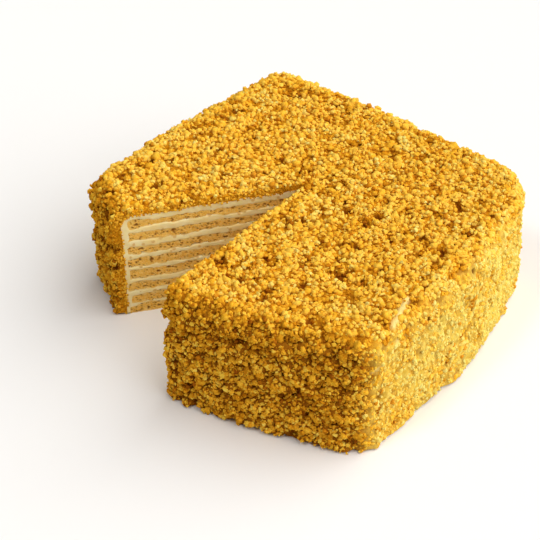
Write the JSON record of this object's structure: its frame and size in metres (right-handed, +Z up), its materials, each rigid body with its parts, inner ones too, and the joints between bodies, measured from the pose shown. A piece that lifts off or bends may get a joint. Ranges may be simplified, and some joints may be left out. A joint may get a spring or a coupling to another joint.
{
  "type": "medovik honey cake",
  "caption": "Square layered honey cake with rounded corners, coated in crumbs, with a wedge cut out that shows the sponge and cream layers.",
  "frame": {"origin": "centre of the bounding box at the height of the cake's base", "axes": "+Z up through the layers; the wedge is open towards -Y, with one cut face along the YZ plane; +X points to the whole long side beside it; +Y to the back"},
  "size_m": [0.227, 0.224, 0.0822],
  "materials": {
    "honey_sponge": "matte porous baked sponge",
    "cream": "soft satin cream",
    "crumbs": "matte dry crumbs"
  },
  "bodies": {
    "root": {"honey_layer_1": "honey_sponge", "honey_layer_2": "honey_sponge", "honey_layer_3": "honey_sponge", "honey_layer_4": "honey_sponge", "honey_layer_5": "honey_sponge", "honey_layer_6": "honey_sponge", "honey_layer_7": "honey_sponge", "honey_layer_8": "honey_sponge", "cream_layer_1": "cream", "cream_layer_2": "cream", "cream_layer_3": "cream", "cream_layer_4": "cream", "cream_layer_5": "cream", "cream_layer_6": "cream", "cream_layer_7": "cream", "cream_coat": "cream", "crumb_coat": "crumbs"}
  },
  "joints": []
}
